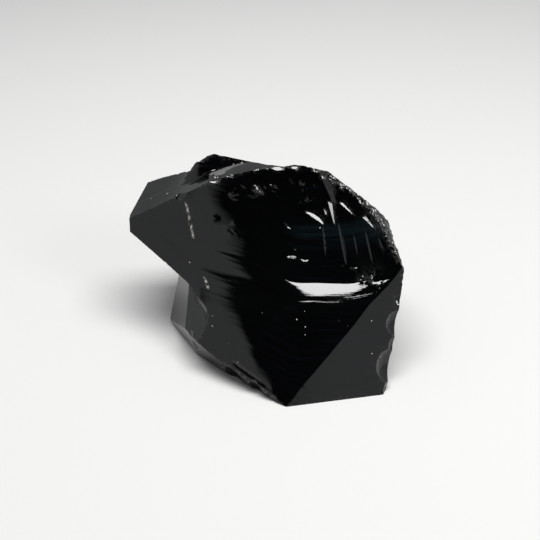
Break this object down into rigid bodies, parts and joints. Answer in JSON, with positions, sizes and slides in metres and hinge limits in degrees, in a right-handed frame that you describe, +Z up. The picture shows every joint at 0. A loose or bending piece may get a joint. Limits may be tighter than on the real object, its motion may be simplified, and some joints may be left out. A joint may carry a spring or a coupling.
{
  "type": "obsidian chunk",
  "caption": "Broken lump of black volcanic glass with a hollow, rippled struck face, sharp ridges and a pointed side wing, standing on its flat underside.",
  "frame": {"origin": "middle of the outline seen from above, at the level of the flat underside it stands on", "axes": "+X to the right along the longest side, +Y away from the struck face, +Z up"},
  "size_m": [0.08, 0.0662, 0.052],
  "materials": {
    "volcanic_glass": "opaque black, glossy broken glass with fine ripples and chipped edges"
  },
  "bodies": {
    "root": {"obsidian_chunk": "volcanic_glass"}
  },
  "joints": []
}
